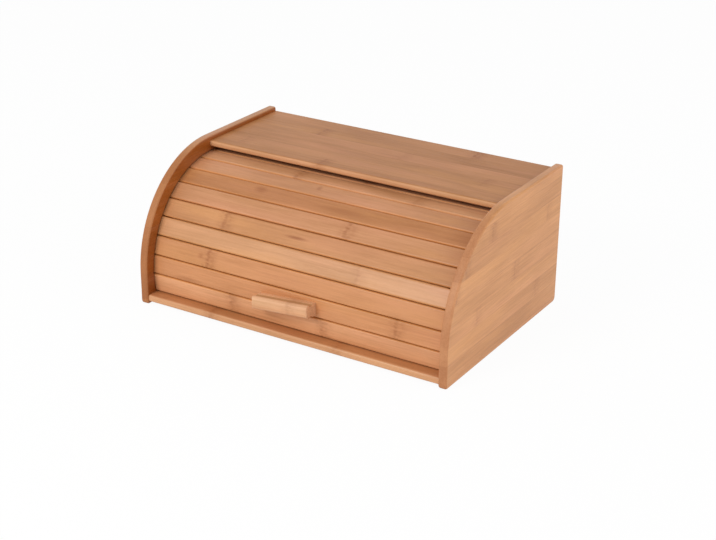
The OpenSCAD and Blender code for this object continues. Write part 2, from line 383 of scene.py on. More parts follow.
@dataclass(frozen=True)
class BambooEffect:
    """Laminated bamboo: glued strips, fibres, bundles and end grain; scales per millimetre."""

    seed_shift: float = 61.0
    strip_shift: float = 700.0
    streaks: Noise = Noise(0.012, 0.42, 3.0, 0.55)
    streak_depth: float = 1.25
    fibres: Noise = Noise(0.03, 1.7, 4.0, 0.6)
    fibre_depth: float = 1.1
    clouds: Noise = Noise(0.009, 0.035)
    cloud_depth: float = 1.5
    mean_depth: float = 0.42
    drift: Noise = Noise(0.006, 0.05, 1.0)
    rosy: Ramp = (0.5, 0.75)
    rosy_share: float = 0.16
    rosy_tone: Tone = (220, 150, 118)
    honey: Ramp = (0.46, 0.28)
    honey_share: float = 0.22
    honey_tone: Tone = (212, 150, 88)
    bundles: Noise = Noise(0.085, 4.6)
    dash: Ramp = (0.57, 0.72)
    dash_share: float = 0.24
    gleam: Ramp = (0.42, 0.3)
    gleam_share: float = 0.14
    gleam_tone: Tone = (238, 190, 146)
    darkest_mark: float = 0.9
    seam: Ramp = (0.42, 0.08)
    pore_scale: Place = (0.1, 1.15, 1.15)
    pore: Ramp = (0.42, 0.12)
    pore_share: float = 0.42
    end_streaks: float = 0.5
    end_depth: float = 0.5
    roughness: float = 0.38
    fibre_roughness: float = 0.22
    end_roughness: float = 0.14
    fibre_rise: float = 0.5
    dash_rise: float = -0.3
    seam_rise: float = -0.5
    mark_rise: float = 0.25
    pore_rise: float = -0.6

    def build(self) -> bpy.types.NodeTree:
        """Builds the effect.

        Returns:
            The node group. Place is in metres, X along the grain and Y across the face; strip
            width and seam place are in millimetres.
        """
        group, sheet, given = new_group(
            "laminated_bamboo",
            (
                "Place", "Strip Width", "Seam At", "Seam Strength", "Seed", "Pale", "Deep",
                "Mark Tone", "End Tone", "Strip Contrast", "Strip Tone", "Marks", "End Grain",
            ),
            ("Color", "Roughness", "Height"),
        )
        along, across, out = sheet.split(sheet.in_millimetres(given["Place"]))
        rows = sheet.math("DIVIDE", sheet.minus(across, given["Seam At"]), given["Strip Width"])
        pair = sheet.joined(sheet.math("FLOOR", rows), given["Seed"])
        dice = sheet.add("ShaderNodeTexWhiteNoise", {"Vector": pair}, noise_dimensions="3D")
        strip_dice = dice.outputs["Value"]

        shift = sheet.total(
            sheet.times(given["Seed"], self.seed_shift), sheet.times(strip_dice, self.strip_shift),
        )
        spot = sheet.joined(sheet.total(along, shift), across, sheet.total(out, shift))
        streaks, fibres, bundles, clouds, drift = (
            sheet.noise(spot, noise)
            for noise in (self.streaks, self.fibres, self.bundles, self.clouds, self.drift)
        )

        depth = sheet.total(
            sheet.times(sheet.minus(strip_dice, 0.5), given["Strip Contrast"]),
            given["Strip Tone"],
            sheet.spread(streaks, self.streak_depth),
            sheet.spread(fibres, self.fibre_depth),
            sheet.spread(clouds, self.cloud_depth),
            self.mean_depth,
            clamp=True,
        )
        dash = sheet.smooth(bundles, self.dash)
        marks = sheet.math("MINIMUM", sheet.math("MAXIMUM", given["Marks"], 0.0), self.darkest_mark)
        edge = sheet.minus(0.5, sheet.between(sheet.math("FRACT", rows), 0.5))
        seam = sheet.smooth(sheet.times(edge, given["Strip Width"]), self.seam)
        seam = sheet.times(seam, given["Seam Strength"])
        color = sheet.mix(depth, given["Pale"], given["Deep"])
        for share, shade in (
            (sheet.fade(drift, self.rosy, self.rosy_share), srgb(self.rosy_tone)),
            (sheet.fade(drift, self.honey, self.honey_share), srgb(self.honey_tone)),
            (sheet.times(dash, self.dash_share), given["Mark Tone"]),
            (sheet.fade(bundles, self.gleam, self.gleam_share), srgb(self.gleam_tone)),
            (marks, given["Mark Tone"]),
            (seam, given["Mark Tone"]),
        ):
            color = sheet.mix(share, color, shade)

        cells = {"Vector": sheet.stretched(spot, self.pore_scale)}
        pore = sheet.add("ShaderNodeTexVoronoi", cells).outputs["Distance"]
        pore = sheet.smooth(pore, self.pore)
        end_color = given["End Tone"]
        for share, shade in (
            (sheet.times(pore, self.pore_share), given["Mark Tone"]),
            (sheet.spread(streaks, self.end_streaks), given["Pale"]),
            (sheet.times(depth, self.end_depth), given["Mark Tone"]),
        ):
            end_color = sheet.mix(share, end_color, shade)

        rough = sheet.total(
            sheet.spread(fibres, self.fibre_roughness),
            sheet.times(given["End Grain"], self.end_roughness),
            self.roughness,
        )
        height = sheet.total(
            sheet.times(fibres, self.fibre_rise),
            sheet.times(dash, self.dash_rise),
            sheet.times(seam, self.seam_rise),
            sheet.times(marks, self.mark_rise),
            sheet.times(sheet.times(pore, given["End Grain"]), self.pore_rise),
        )
        color = sheet.mix(given["End Grain"], color, end_color)
        sheet.add("NodeGroupOutput", {"Color": color, "Roughness": rough, "Height": height})
        return group


@dataclass(frozen=True)
class Effects:
    """The shared bamboo effects."""

    bamboo: bpy.types.NodeTree
    knuckle: bpy.types.NodeTree
    fleck: bpy.types.NodeTree

    @classmethod
    def build(cls) -> Effects:
        """Builds the three effects."""
        return cls(BambooEffect().build(), KnuckleEffect().build(), FleckAndShadeEffect().build())


# ---------------- finishes


class Grain(Enum):
    """Which way a part's fibres run and its face looks: the grain frame's X, Y and Z."""

    ACROSS_TOP = ((1, 0, 0), (0, 1, 0), (0, 0, 1))
    FRONT_TO_BACK = ((0, 1, 0), (0, 0, 1), (1, 0, 0))
    ACROSS_BACK = ((1, 0, 0), (0, 0, 1), (0, -1, 0))

    def frame(self) -> Matrix:
        """Gives the grain frame."""
        return Matrix(self.value).transposed().to_4x4()


@dataclass(frozen=True)
class Mark:
    """A mark that an effect makes, in millimetres in the part's grain frame."""

    def sockets(self) -> dict[str, float]:
        """Gives the effect's input values: each input has the name of a field."""
        return {name.replace("_", " ").title(): value for name, value in vars(self).items()}


@dataclass(frozen=True)
class Knuckle(Mark):
    """Where a cane's joint crosses a strip, in millimetres in the part's grain frame."""

    along: float
    strength: float = 0.5
    step: float = 0.0
    across: float = 0.0
    half_width: float = 12.0


def knuckles(half_width: float, *rows: tuple[float, float, float, float]) -> tuple[Knuckle, ...]:
    """Gives a board's knuckles; a row has place along, strength, step and place across."""
    return tuple(Knuckle(*row, half_width) for row in rows)


@dataclass(frozen=True)
class FleckAndShade(Mark):
    """A dark lens along the fibres, also painted shade; in millimetres in the part's grain frame.
    """

    along: float
    across: float
    half_length: float
    half_width: float
    strength: float


@dataclass(frozen=True)
class Face:
    """What a finish reads: place, its three numbers, and the normal's, in the grain frame."""

    sheet: Sheet
    place: Socket
    at: tuple[Socket, ...]
    normal: tuple[Socket, ...]


@dataclass(frozen=True)
class BambooFinish:
    """One part's bamboo: its tone, its strips and marks, and where its grain frame lies."""

    name: str
    tone: Tone
    end_tone: Tone = (184, 124, 82)
    mark_tone: Tone = (140, 78, 38)
    strip_width: float = 21.6
    seam_at: float = 10.8
    seam_strength: float = 0.3
    strip_contrast: float = 0.0
    strip_tones: tuple[float, ...] = ()
    first_strip: int = 0
    seed: float = 0.0
    knuckles: tuple[Knuckle, ...] = ()
    flecks: tuple[FleckAndShade, ...] = ()
    end_facing: Ramp = (0.1, 0.5)
    relief: float = 0.14
    relief_height: float = 0.0004
    gloss: float = 0.32
    grain: Matrix = field(default_factory=Matrix)

    def build(self, effects: Effects) -> bpy.types.Material:
        """Makes the material.

        Args:
            effects: The shared bamboo effects.

        Returns:
            The finished material.
        """
        material, sheet, shader = new_material(self.name)
        where = sheet.add("ShaderNodeTexCoord").outputs
        origin, turn = tuple(self.grain.translation), tuple(self.grain.to_euler("XYZ"))
        spot = {"Vector": where["Object"], "Location": origin, "Rotation": turn}
        place = sheet.add("ShaderNodeMapping", spot, vector_type="TEXTURE").outputs[0]
        facing = {"Vector": where["Normal"], "Rotation": turn}
        normal = sheet.add("ShaderNodeMapping", facing, vector_type="TEXTURE").outputs[0]
        face = Face(sheet, place, sheet.split(place), sheet.split(normal))
        marks, steps = self.marks(face, effects)
        pale, deep = self.tones(face)
        wood = sheet.add("ShaderNodeGroup", {
            "Place": place,
            "Strip Width": self.strip_width,
            "Seam At": self.seam_at,
            "Seam Strength": self.seam_strength,
            "Seed": self.seed,
            "Pale": pale,
            "Deep": deep,
            "Mark Tone": srgb(self.mark_tone),
            "End Tone": srgb(self.end_tone),
            "Strip Contrast": self.strip_contrast,
            "Strip Tone": sheet.total(self.strips(face), steps),
            "Marks": marks,
            "End Grain": sheet.smooth(sheet.math("ABSOLUTE", face.normal[0]), self.end_facing),
        }, node_tree=effects.bamboo).outputs
        sheet.feed(shader, {
            "Base Color": wood["Color"],
            "Roughness": wood["Roughness"],
            "Normal": sheet.bump(wood["Height"], self.relief, self.relief_height),
            "Specular IOR Level": self.gloss,
        })
        return material

    def layers(self, face: Face) -> tuple[Layer, ...]:
        """Gives the tones over the part's own: each one's share, palest and deepest colour."""
        return ()

    def tones(self, face: Face) -> tuple[Shade, Shade]:
        """Lays the layers over the part's own tone.

        Args:
            face: The face that is painted.

        Returns:
            The palest and the deepest colour of the fibres, or the sockets that give them.
        """
        pale, deep = pale_and_deep(self.tone)
        for share, (pale_over, deep_over) in self.layers(face):
            pale = face.sheet.mix(share, pale, pale_over)
            deep = face.sheet.mix(share, deep, deep_over)
        return pale, deep

    def marks(self, face: Face, effects: Effects) -> tuple[Number, Number]:
        """Adds up the part's knuckles and dark lenses, painted shade and sheen among them.

        Args:
            face: The face that is painted.
            effects: The shared bamboo effects.

        Returns:
            The marks' darkness, and the change of tone beyond the knuckles.
        """
        marks, steps = 0.0, 0.0
        for mark in self.knuckles + self.flecks:
            effect = effects.knuckle if isinstance(mark, Knuckle) else effects.fleck
            inputs = {"Place": face.place, **mark.sockets()}
            node = face.sheet.add("ShaderNodeGroup", inputs, node_tree=effect)
            marks = face.sheet.total(node.outputs["Mask"], marks)
            if isinstance(mark, Knuckle) and mark.step:
                steps = face.sheet.total(node.outputs["Step"], steps)
        return marks, steps

    def strips(self, face: Face) -> Number:
        """Gives each strip of the face its own tone, from the first strip up.

        Args:
            face: The face that is painted.

        Returns:
            How much deeper the strip is than the part's tone.
        """
        if not self.strip_tones:
            return 0.0
        sheet, count = face.sheet, len(self.strip_tones)
        low = (self.seam_at + self.first_strip * self.strip_width) / MM_PER_M
        reach = count * self.strip_width / MM_PER_M
        share = sheet.math("DIVIDE", sheet.minus(face.at[1], low), reach)
        ramp = sheet.add("ShaderNodeValToRGB", {0: share})
        ramp.color_ramp.interpolation = "CONSTANT"
        stops = ramp.color_ramp.elements
        for index, tone in enumerate(self.strip_tones):
            stop = stops[index] if index < 2 else stops.new(index / count)
            stop.position = index / count
            stop.color = (0.5 + tone, 0.5 + tone, 0.5 + tone, 1.0)
        return sheet.minus(ramp.outputs[0], 0.5)


@dataclass(frozen=True)
class PanelFinish(BambooFinish):
    """A side panel's bamboo with painted shade: a darker inner face, darkest along the track."""

    strip_width: float = 21.3
    seam_at: float = 27.0
    first_strip: int = -2
    grain: Matrix = field(default_factory=Grain.FRONT_TO_BACK.frame)
    # The inner face's tone and the track line's tone are painted shade.
    inner_tone: Tone = (152, 82, 26)
    inner_facing: Ramp = (0.6, 0.95)
    burn_tone: Tone = (104, 56, 24)
    burn_width: float = 0.0022
    track_radius: float = 0.1147
    inwards: int = 1

    def layers(self, face: Face) -> tuple[Layer, ...]:
        """Paints shade on the face that looks inwards, and a darker line of it along the track.

        Args:
            face: The face that is painted.

        Returns:
            For each layer its share, and its palest and deepest colour.
        """
        sheet, (along, up, _) = face.sheet, face.at
        # Painted shade on the face that looks inwards.
        inner = sheet.smooth(sheet.times(face.normal[2], self.inwards), self.inner_facing)
        spoke = sheet.joined(sheet.minus(along, TRACK_CENTRE[1]), sheet.minus(up, TRACK_CENTRE[2]))
        reach = sheet.add("ShaderNodeVectorMath", {0: spoke}, operation="LENGTH").outputs["Value"]
        beyond = sheet.minus(reach, self.track_radius)
        # Painted shade: a darker line on the inner face along the track.
        track_shade = sheet.times(sheet.smooth(beyond, (self.burn_width, 0.0)), inner)
        return (inner, pale_and_deep(self.inner_tone)), (track_shade, (srgb(self.burn_tone),) * 2)


@dataclass(frozen=True)
class BoardFinish(BambooFinish):
    """A board's bamboo, with painted light: its forward-facing nose is paler than its top."""

    grain: Matrix = field(default_factory=Grain.ACROSS_TOP.frame)
    # The nose's tone is painted light: the forward face paler than the top.
    nose_tone: Tone = (200, 148, 104)
    nose_facing: Ramp = (-0.3, -0.8)

    def layers(self, face: Face) -> tuple[Layer, ...]:
        """Paints light on the board: paler where it looks forwards."""
        # Painted light: paler on the forward-facing nose.
        nose = face.sheet.smooth(face.normal[1], self.nose_facing)
        return ((nose, pale_and_deep(self.nose_tone)),)


@dataclass(frozen=True)
class SlatFinish(BambooFinish):
    """A slat's bamboo with painted shade: its rounded edges, in the gaps, are a warmer brown."""

    # The edge tone is painted shade: the saturated brown of the shaded gaps.
    edge_tone: Tone = (204, 139, 82)
    edge_facing: Ramp = (0.4, 0.85)

    def layers(self, face: Face) -> tuple[Layer, ...]:
        """Paints shade on the slat: a warmer brown on its long edges, in the gaps."""
        # Painted shade on the rounded long edges that line the gaps.
        edge = face.sheet.smooth(face.sheet.math("ABSOLUTE", face.normal[1]), self.edge_facing)
        return ((edge, pale_and_deep(self.edge_tone)),)


@dataclass(frozen=True)
class HandleFinish(BambooFinish):
    """The handle's bamboo: a paler upper half of its nose, and painted shade in its groove."""

    ply_tone: Tone = (214, 165, 124)
    ply_rise: Ramp = (-0.003, 0.0014)
    ply_reach: Ramp = (0.0122, 0.0134)
    # The groove's tone is painted shade.
    groove_tone: Tone = (176, 122, 76)
    groove_at: float = 0.0098
    groove_reach: Ramp = (0.0039, 0.003)
    groove_facing: Ramp = (0.2, 0.7)

    def layers(self, face: Face) -> tuple[Layer, ...]:
        """Lays a paler upper nose, and painted shade in the groove, over the handle's own tone.

        Args:
            face: The face that is painted.

        Returns:
            For each layer its share, and its palest and deepest colour.
        """
        sheet, (_, across, out) = face.sheet, face.at
        upper_nose = sheet.times(sheet.smooth(across, self.ply_rise), sheet.smooth(out, self.ply_reach))
        # Painted shade in the finger groove, on its upward faces.
        upwards = sheet.smooth(face.normal[1], self.groove_facing)
        groove = sheet.smooth(sheet.between(out, self.groove_at), self.groove_reach)
        groove = sheet.times(groove, upwards)
        return (upper_nose, pale_and_deep(self.ply_tone)), (groove, pale_and_deep(self.groove_tone))


@dataclass(frozen=True)
class CottonFinish:
    """Plain woven cotton, with slubs in its threads, and at each gap a glossier glued line, painted
    darker as shade.
    """

    name: str = "cotton_canvas"
    tone: Tone = (208, 172, 126)
    shade: Tone = (158, 112, 66)
    # The gap line's tone is partly painted shade.
    glue_tone: Tone = (178, 134, 84)
    glue_width: float = 0.07
    glue_share: float = 0.5
    thread: float = 0.0009
    crossing: float = 0.5
    weave_height: float = 0.67
    weave_depth: float = -0.45
    slubs: tuple[Noise, Noise] = (Noise(900, 40), Noise(40, 900))
    slub_depth: float = 0.35
    dirt: Noise = Noise(18, 18, 3.0)
    dirt_depth: float = 0.3
    mean_depth: float = 0.25
    slat_pitch: float = 0.02199
    gap_at: float = 0.99
    roughness: float = 0.92
    glue_gloss: float = 0.5
    relief: float = 0.6
    relief_height: float = 0.0002
    sheen: float = 0.25
    gloss: float = 0.15

    def build(self) -> bpy.types.Material:
        """Makes the material; it reads the cloth's own UV map, in metres.

        Returns:
            The finished material.
        """
        material, sheet, shader = new_material(self.name)
        cloth = sheet.add("ShaderNodeUVMap", uv_map="cloth").outputs[0]
        weave = self.weave(sheet, cloth)
        slubs = sheet.total(*(sheet.noise(cloth, slub) for slub in self.slubs))
        depth = sheet.total(
            # Painted shade: the sunk threads of the weave are darker.
            sheet.times(weave, self.weave_depth),
            sheet.times(slubs, self.slub_depth),
            sheet.times(sheet.noise(cloth, self.dirt), self.dirt_depth),
            self.mean_depth,
            clamp=True,
        )
        turn = sheet.math("FRACT", sheet.math("DIVIDE", sheet.split(cloth)[1], self.slat_pitch))
        # A darker, glossier line at each gap: the glued seam, and painted shade of the gap.
        glue_and_shade = sheet.smooth(sheet.between(turn, self.gap_at), (self.glue_width, 0.0))
        glue_and_shade = sheet.times(glue_and_shade, self.glue_share)
        color = sheet.mix(depth, srgb(self.tone), srgb(self.shade))
        sheet.feed(shader, {
            "Base Color": sheet.mix(glue_and_shade, color, srgb(self.glue_tone)),
            "Roughness": sheet.minus(self.roughness, sheet.times(glue_and_shade, self.glue_gloss)),
            "Normal": sheet.bump(weave, self.relief, self.relief_height),
            "Sheen Weight": self.sheen,
            "Specular IOR Level": self.gloss,
        })
        return material

    def weave(self, sheet: Sheet, cloth: Socket) -> Socket:
        """Gives the height of a plain weave.

        Args:
            sheet: The material's sheet.
            cloth: The place on the cloth, in metres.

        Returns:
            The height, high where a thread crosses over.
        """
        threads = sheet.stretched(cloth, (1 / self.thread, 1 / self.thread, 1))
        across, along, _ = sheet.split(threads)
        warp, weft = (
            sheet.math("SINE", sheet.times(sheet.math("FRACT", place), math.pi))
            for place in (across, along)
        )
        count = sheet.total(sheet.math("FLOOR", across), sheet.math("FLOOR", along))
        over = sheet.math("PINGPONG", count, 1.0)
        raised = sheet.times(sheet.times(warp, over), sheet.total(weft, self.crossing))
        under = sheet.minus(1.0, over)
        sunk = sheet.times(sheet.times(weft, under), sheet.total(warp, self.crossing))
        return sheet.times(sheet.total(raised, sunk), self.weave_height)


@dataclass(frozen=True)
class ZincFinish:
    """Zinc plate on steel: a grey metal with a faint warm bloom and fine turning marks."""

    name: str = "zinc_plate"
    tone: Tone = (186, 188, 190)
    bloom: Tone = (196, 188, 160)
    bloom_noise: Noise = Noise(420, 420, 3.0)
    bloom_ramp: Ramp = (0.4, 0.7)
    scratches: Noise = Noise(400, 6000)
    scratch_roughness: float = 0.2
    roughness: float = 0.36
    relief: float = 0.1
    relief_height: float = 0.0001

    def build(self) -> bpy.types.Material:
        """Makes the material.

        Returns:
            The finished material.
        """
        material, sheet, shader = new_material(self.name)
        place = sheet.add("ShaderNodeTexCoord").outputs["Object"]
        patches = sheet.smooth(sheet.noise(place, self.bloom_noise), self.bloom_ramp)
        scratches = sheet.noise(place, self.scratches)
        rough = sheet.total(sheet.spread(scratches, self.scratch_roughness), self.roughness)
        sheet.feed(shader, {
            "Base Color": sheet.mix(patches, srgb(self.tone), srgb(self.bloom)),
            "Roughness": rough,
            "Normal": sheet.bump(scratches, self.relief, self.relief_height),
            "Metallic": 1.0,
        })
        return material


def paint(node: str, material: bpy.types.Material) -> None:
    """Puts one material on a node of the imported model.

    Args:
        node: The node's name.
        material: The material that it gets.
    """
    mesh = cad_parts[node].data
    mesh.materials.clear()
    mesh.materials.append(material)


# ---------------- the box


@dataclass
class Carcass:
    """The two side panels, the three boards between them and their dowels; in millimetres."""

    effects: Effects
    panel_knuckle: float = 10.6
    top_strip: float = 24.5
    top_seam: float = 57.5
    top_knuckle: float = 12.2
    nose_knuckle: float = 26.0

    def left_panel(self) -> PanelFinish:
        """Gives the left panel's finish."""
        return PanelFinish(
            "bamboo_left_panel", tone=(189, 133, 90), end_tone=(176, 115, 68), inwards=1,
            seed=3.0, strip_tones=(-0.2, 0.55, 0.35, 0.3, 0.3, -0.2, -0.3, 0.0, 0.0),
            knuckles=knuckles(
                self.panel_knuckle,
                (-72, 0.5, 0.1, 37.7), (58, 0.4, 0.0, 37.7), (-10, 0.5, -0.1, 80.3),
                (96, 0.55, 0.0, 101.6), (-38, 0.4, 0.0, 122.9), (30, 0.5, 0.1, 144.2),
                (84, 0.4, 0.0, 16.4),
            ),
        )

    def right_panel(self) -> PanelFinish:
        """Gives the right panel's finish, with the strips and knuckles of its outer face."""
        return PanelFinish(
            "bamboo_right_panel", tone=(198, 139, 88), end_tone=(195, 136, 93), inwards=-1,
            seed=5.0, strip_tones=(0.2, 0.22, -0.04, -0.08, 0.06, -0.16, 0.2, 0.12, -0.06),
            knuckles=knuckles(
                self.panel_knuckle,
                (-39, 0.5, 0.0, 144.2), (-97, 0.45, 0.0, 122.9), (18, 0.42, 0.0, 80.3),
                (-118, 0.5, 0.0, 101.6), (-68, 0.32, 0.0, 59.0), (74, 0.3, 0.0, 37.7),
                (96, 0.3, 0.1, 122.9),
            ),
        )

    def top_board(self) -> BoardFinish:
        """Gives the top board's finish."""
        return BoardFinish(
            "bamboo_top_board", tone=(181, 124, 78), end_tone=(176, 119, 82),
            # The nose's tone is painted light.
            nose_tone=(208, 155, 113), gloss=0.12,
            strip_width=self.top_strip, seam_at=self.top_seam, seam_strength=0.26,
            strip_tones=(0.12, -0.16, 0.1, -0.12, 0.16, 0.0), first_strip=-3, seed=8.0,
            knuckles=knuckles(
                self.top_knuckle,
                (-97, 0.6, 0.08, 94.2), (97, 0.7, 0.0, 118.7), (-40, 0.5, 0.0, 3.0),
                (146, 0.3, 0.0, 45.2), (-158, 0.3, 0.0, 20.7), (28, 0.25, 0.0, 69.7),
            ),
            flecks=(FleckAndShade(60, 82, 60, 1.2, 0.3), FleckAndShade(20, 57.5, 70, 1.1, 0.28)),
        )

    def bottom_board(self) -> BoardFinish:
        """Gives the bottom board's finish."""
        return BoardFinish(
            "bamboo_bottom_board", tone=(184, 124, 78), seed=13.0, seam_at=-94.0,
            strip_contrast=0.3,
            knuckles=knuckles(
                self.nose_knuckle, (-104, 0.5, 0.1, -120), (62, 0.4, -0.1, -120),
            ) + knuckles(
                self.panel_knuckle, (-20, 0.5, 0.0, -40.2), (120, 0.4, 0.0, 24.6),
            ),
        )

    def back_board(self) -> BambooFinish:
        """Gives the back board's finish."""
        return BambooFinish(
            "bamboo_back_board", tone=(211, 158, 116), seed=21.0, seam_at=20.0,
            strip_contrast=0.45, grain=Grain.ACROSS_BACK.frame(),
            knuckles=knuckles(
                self.panel_knuckle,
                (-120, 0.5, 0.1, 30.8), (44, 0.45, 0.0, 52.4), (132, 0.5, -0.1, 74.0),
                (-60, 0.4, 0.0, 95.6), (80, 0.5, 0.0, 117.2), (-150, 0.4, 0.0, 138.8),
            ),
        )

    def dowels(self, name: str, seed: float) -> BambooFinish:
        """Gives the dowels' plain beech, in one strip; the seed sets a row's grain apart."""
        return BambooFinish(
            name, tone=(206, 170, 128), end_tone=(188, 146, 104), mark_tone=(150, 104, 66),
            strip_width=400.0, seam_at=-200.0, seam_strength=0.0, seed=seed,
        )

    def dress(self) -> list[str]:
        """Gives every panel, board and dowel its finish.

        Returns:
            The names of the dressed nodes.
        """
        finishes = {
            "side_panel_left": self.left_panel(),
            "side_panel_right": self.right_panel(),
            "top_board": self.top_board(),
            "bottom_board": self.bottom_board(),
            "back_board": self.back_board(),
            "dowels_top_board": self.dowels("beech_dowels_top", 2.0),
            "dowels_bottom_board": self.dowels("beech_dowels_bottom", 4.0),
        }
        for node, finish in finishes.items():
            paint(node, finish.build(self.effects))
        return list(finishes)


# ---------------- the tambour


@dataclass(frozen=True)
class SlatLook:
    """What sets one slat's bamboo apart."""

    tone: Tone
    knuckles: tuple[Knuckle, ...] = ()
    flecks: tuple[FleckAndShade, ...] = ()


# Slats 5 to 8 end in a broad dark lens at 184 mm: painted shade, the right panel's shadow.
SLAT_LOOKS = (
    SlatLook((211, 152, 107), (Knuckle(-82, 0.55, 0.05), Knuckle(38, 0.55, 0.05))),
    SlatLook((199, 137, 91), (Knuckle(130, 0.55, -0.05),), (FleckAndShade(-142, -7, 20, 3, 0.3),)),
    SlatLook((193, 133, 88), (Knuckle(-116, 0.6, -0.15),), (FleckAndShade(-127, 1, 5, 4, 0.4),)),
    # Slat 4: a faint knuckle at 75 mm; the paler right end beyond it is painted sheen.
    SlatLook((194, 140, 95), (Knuckle(75, 0.25, -0.4),)),
    SlatLook(
        (191, 133, 87), (Knuckle(-107, 0.6, 0.08),),
        # The lens at 184 mm is painted shade from the right panel.
        (FleckAndShade(-12, 0.6, 18, 2.6, 0.75), FleckAndShade(184, 0, 26, 16, 0.16)),
    ),
    # The lens at 184 mm is painted shade from the right panel.
    SlatLook((195, 139, 98), (Knuckle(43, 0.55),), (FleckAndShade(184, 0, 30, 16, 0.26),)),
    SlatLook(
        (182, 122, 76), (),
        # The lens at 184 mm is painted shade from the right panel.
        (FleckAndShade(-84, 3, 11, 6, 0.45), FleckAndShade(30, -1, 44, 6, 0.28), FleckAndShade(184, 0, 34, 16, 0.3)),
    ),
    # The lens at 184 mm is painted shade from the right panel.
    SlatLook((194, 136, 94), (), (FleckAndShade(-20, 3, 4, 5, 0.5), FleckAndShade(184, 0, 34, 16, 0.3))),
    SlatLook((206, 150, 108), (Knuckle(-60, 0.5, 0.1), Knuckle(95, 0.4))),
    SlatLook((210, 152, 108), (Knuckle(20, 0.5, -0.1),)),
    SlatLook((204, 144, 102), (Knuckle(-130), Knuckle(70, 0.4, 0.1))),
)


@dataclass
class Tambour:
    """The curtain's wood and metal: slats that share one circle, the handle and its screws."""

    effects: Effects
    face_radius: float = 0.114
    first_angle: float = -6.298
    pitch: float = 11.525
    first_seed: float = 33.5
    seed_step: float = 3.0
    handle_slat: int = 2
    handle_shift: float = -0.0055
    handle_rise: float = -0.0035
    handle_tilt: float = 4.2

    def slat_frame(self, number: int) -> Matrix:
        """Gives a slat's own frame.

        Args:
            number: The slat, counted from the bottom.

        Returns:
            The frame: X along it, Y up across it, Z out from its face's middle.
        """
        angle = self.first_angle + (number - 1) * self.pitch
        turn = Matrix.Rotation(math.radians(90 - angle), 4, "X")
        out = Matrix.Translation((0, 0, self.face_radius))
        return Matrix.Translation(TRACK_CENTRE) @ turn @ out

    def slat_finish(self, number: int, look: SlatLook) -> SlatFinish:
        """Gives a slat's finish, in its own frame."""
        return SlatFinish(
            f"bamboo_slat_{number:02d}", tone=look.tone, seam_strength=0.0,
            seed=self.first_seed + self.seed_step * (number - 1),
            knuckles=look.knuckles, flecks=look.flecks, grain=self.slat_frame(number),
        )

    def handle_finish(self) -> HandleFinish:
        """Gives the handle's finish.

        Returns:
            The finish, in the handle's own tilted frame.
        """
        shift = Matrix.Translation((self.handle_shift, self.handle_rise, 0))
        tilt = Matrix.Rotation(math.radians(self.handle_tilt), 4, "Z")
        return HandleFinish(
            "bamboo_handle", tone=(214, 159, 117), end_tone=(230, 178, 136), seam_strength=0.0,
            seed=1.0, knuckles=(Knuckle(11, 0.3),),
            grain=self.slat_frame(self.handle_slat) @ shift @ tilt,
        )

    def dress(self) -> list[str]:
        """Gives the slats, the handle and its screws their finishes.

        Returns:
            The names of the dressed nodes.
        """
        names = []
        for number, look in enumerate(SLAT_LOOKS, start=1):
            names.append(f"slat_{number:02d}")
            paint(names[-1], self.slat_finish(number, look).build(self.effects))
        paint("handle", self.handle_finish().build(self.effects))
        paint("handle_screws", ZincFinish().build())
        return names + ["handle", "handle_screws"]


@dataclass
class Canvas:
    """The cotton glued to the backs of the slats: flat on each slat, bent at each gap."""

    half_width: float = 0.178
    corner_radius: float = 0.109534
    thickness: float = 0.0006
    first_corner: float = -11.957
    slat_sweep: float = 11.317
    gap_sweep: float = 0.208
    slat_count: int = len(SLAT_LOOKS)
    ribs: int = 24

    def build(self) -> bpy.types.Object:
        """Shapes the cloth, dresses it, attaches it to the tambour and hides the imported canvas.

        Returns:
            The canvas.
        """
        mesh = bpy.data.meshes.new("canvas_cloth")
        shape = self.shaped()
        shape.to_mesh(mesh)
        shape.free()
        mesh.materials.append(CottonFinish().build())
        cloth = placed("canvas_cloth", mesh)
        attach(cloth, "tambour")
        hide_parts("canvas")
        return cloth

    def shaped(self) -> bmesh.types.BMesh:
        """Sweeps a hem over slats and gaps, and gives the cloth its thickness.

        Returns:
            The cloth's mesh, still open for editing.
        """
        _, y, z = TRACK_CENTRE
        start = math.radians(self.first_corner)
        front = y - self.corner_radius * math.cos(start)
        low = z + self.corner_radius * math.sin(start)
        shape = bmesh.new()
        ends = [shape.verts.new((side * self.half_width, front, low)) for side in (-1, 1)]
        hem = shape.edges.new(ends)
        bmesh.ops.subdivide_edges(shape, edges=[hem], cuts=self.ribs - 1)
        row = list(shape.verts) + list(shape.edges)
        sweeps = [self.slat_sweep, self.gap_sweep] * self.slat_count
        for sweep in sweeps[:-1]:
            swept = bmesh.ops.spin(
                shape, geom=row, cent=TRACK_CENTRE, axis=(-1, 0, 0), dvec=(0, 0, 0),
                angle=math.radians(sweep), steps=1, use_merge=False, use_duplicate=False,
            )
            row = swept["geom_last"]
        bmesh.ops.recalc_face_normals(shape, faces=shape.faces)
        self.lay_flat(shape)
        first = shape.faces[0]
        if first.normal.dot(first.calc_center_median() - Vector(TRACK_CENTRE)) < 0:
            bmesh.ops.reverse_faces(shape, faces=shape.faces)
        bmesh.ops.solidify(shape, geom=shape.faces, thickness=self.thickness)
        bmesh.ops.recalc_face_normals(shape, faces=shape.faces)
        return shape

    def lay_flat(self, shape: bmesh.types.BMesh) -> None:
        """Gives the cloth a UV map in metres: across it, and along its curve.

        Args:
            shape: The cloth's mesh before it gets its thickness.
        """
        layer = shape.loops.layers.uv.new("cloth")
        _, y, z = TRACK_CENTRE
        start = math.radians(self.first_corner)
        for face in shape.faces:
            for loop in face.loops:
                point = loop.vert.co
                angle = math.atan2(point.z - z, y - point.y)
                loop[layer].uv = (point.x, (angle - start) * self.corner_radius)


# ---------------- floor, light and camera


